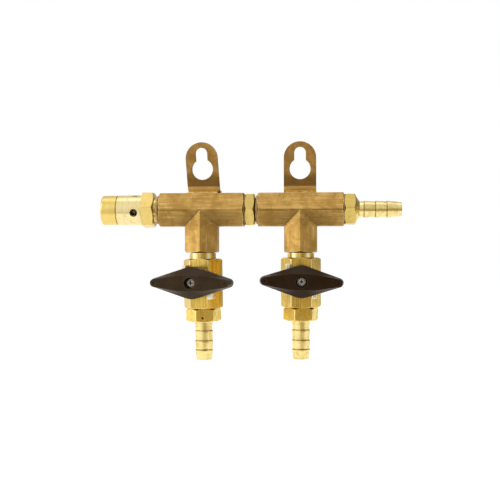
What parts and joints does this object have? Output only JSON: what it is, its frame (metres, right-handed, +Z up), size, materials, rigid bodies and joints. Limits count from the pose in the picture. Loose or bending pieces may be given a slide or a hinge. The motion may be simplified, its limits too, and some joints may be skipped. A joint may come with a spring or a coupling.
{
  "type": "gas distribution manifold",
  "caption": "Brass low-pressure gas manifold on keyhole wall brackets: hex tees, quarter-turn shut-off valves with wing handles, hose barbs and a vented relief valve.",
  "frame": {"origin": "midway between the centres of the two hanging holes, on the plane of the bracket plates' back faces", "axes": "+X along the manifold from the relief valve to the hose inlet, +Y into the panel, +Z up"},
  "size_m": [0.1586, 0.0431, 0.1153],
  "materials": {
    "tee_brass": "tarnished brown, drawn",
    "bracket_brass": "tarnished brown, heat-stained",
    "turned_brass": "bright turned",
    "relief_brass": "bright turned",
    "cap_brass": "brushed",
    "valve_brass": "golden, machined",
    "handle_plastic": "moulded satin",
    "screw_steel": "bright zinc",
    "ball_chrome": "polished",
    "seat_plastic": "waxy white",
    "poppet_plastic": "moulded",
    "seal_rubber": "smooth",
    "spring_steel": "drawn wire"
  },
  "bodies": {
    "manifold": {"left_tee_body": "tee_brass", "right_tee_body": "tee_brass", "left_bracket": "bracket_brass", "right_bracket": "bracket_brass", "joining_nipple": "turned_brass", "inlet_hose_barb": "turned_brass", "relief_body": "relief_brass", "relief_cap": "cap_brass", "relief_spring": "spring_steel", "left_valve_body": "valve_brass", "left_outlet_barb": "valve_brass", "left_ball_seats": "seat_plastic", "left_body_seal": "seal_rubber", "left_thrust_washer": "seat_plastic", "left_check_seat": "turned_brass", "left_check_spring": "spring_steel", "right_valve_body": "valve_brass", "right_outlet_barb": "valve_brass", "right_ball_seats": "seat_plastic", "right_body_seal": "seal_rubber", "right_thrust_washer": "seat_plastic", "right_check_seat": "turned_brass", "right_check_spring": "spring_steel"},
    "left_rotor": {"left_handle": "handle_plastic", "left_handle_screw": "screw_steel", "left_stem": "turned_brass", "left_stem_rings": "seal_rubber", "left_ball": "ball_chrome"},
    "right_rotor": {"right_handle": "handle_plastic", "right_handle_screw": "screw_steel", "right_stem": "turned_brass", "right_stem_rings": "seal_rubber", "right_ball": "ball_chrome"},
    "relief_piston": {"relief_poppet": "turned_brass", "relief_seal": "seal_rubber"},
    "left_check_piston": {"left_check_poppet": "poppet_plastic", "left_check_seal": "seal_rubber"},
    "right_check_piston": {"right_check_poppet": "poppet_plastic", "right_check_seal": "seal_rubber"}
  },
  "joints": [
    {"name": "left_handle_turn", "type": "hinge", "parent": "manifold", "child": "left_rotor", "pos_m": [-0.02567, 0, -0.0594], "axis": [-0.1045, -0.9945, -0.0015], "range_deg": [0, 90]},
    {"name": "right_handle_turn", "type": "hinge", "parent": "manifold", "child": "right_rotor", "pos_m": [0.0262, 0, -0.05875], "axis": [0.0366, -0.9993, 0], "range_deg": [0, 90]},
    {"name": "relief_lift", "type": "slide", "parent": "manifold", "child": "relief_piston", "axis": [-1, 0, 0], "range_m": [0, 0.0015], "stiffness_N_per_m": 2000, "springref_m": -0.004, "deforming": ["relief_spring"]},
    {"name": "left_check_lift", "type": "slide", "parent": "manifold", "child": "left_check_piston", "axis": [0.014, 0, -0.9999], "range_m": [0, 0.0015], "stiffness_N_per_m": 150, "springref_m": -0.003, "deforming": ["left_check_spring"]},
    {"name": "right_check_lift", "type": "slide", "parent": "manifold", "child": "right_check_piston", "axis": [0, 0, -1], "range_m": [0, 0.0015], "stiffness_N_per_m": 150, "springref_m": -0.003, "deforming": ["right_check_spring"]}
  ]
}
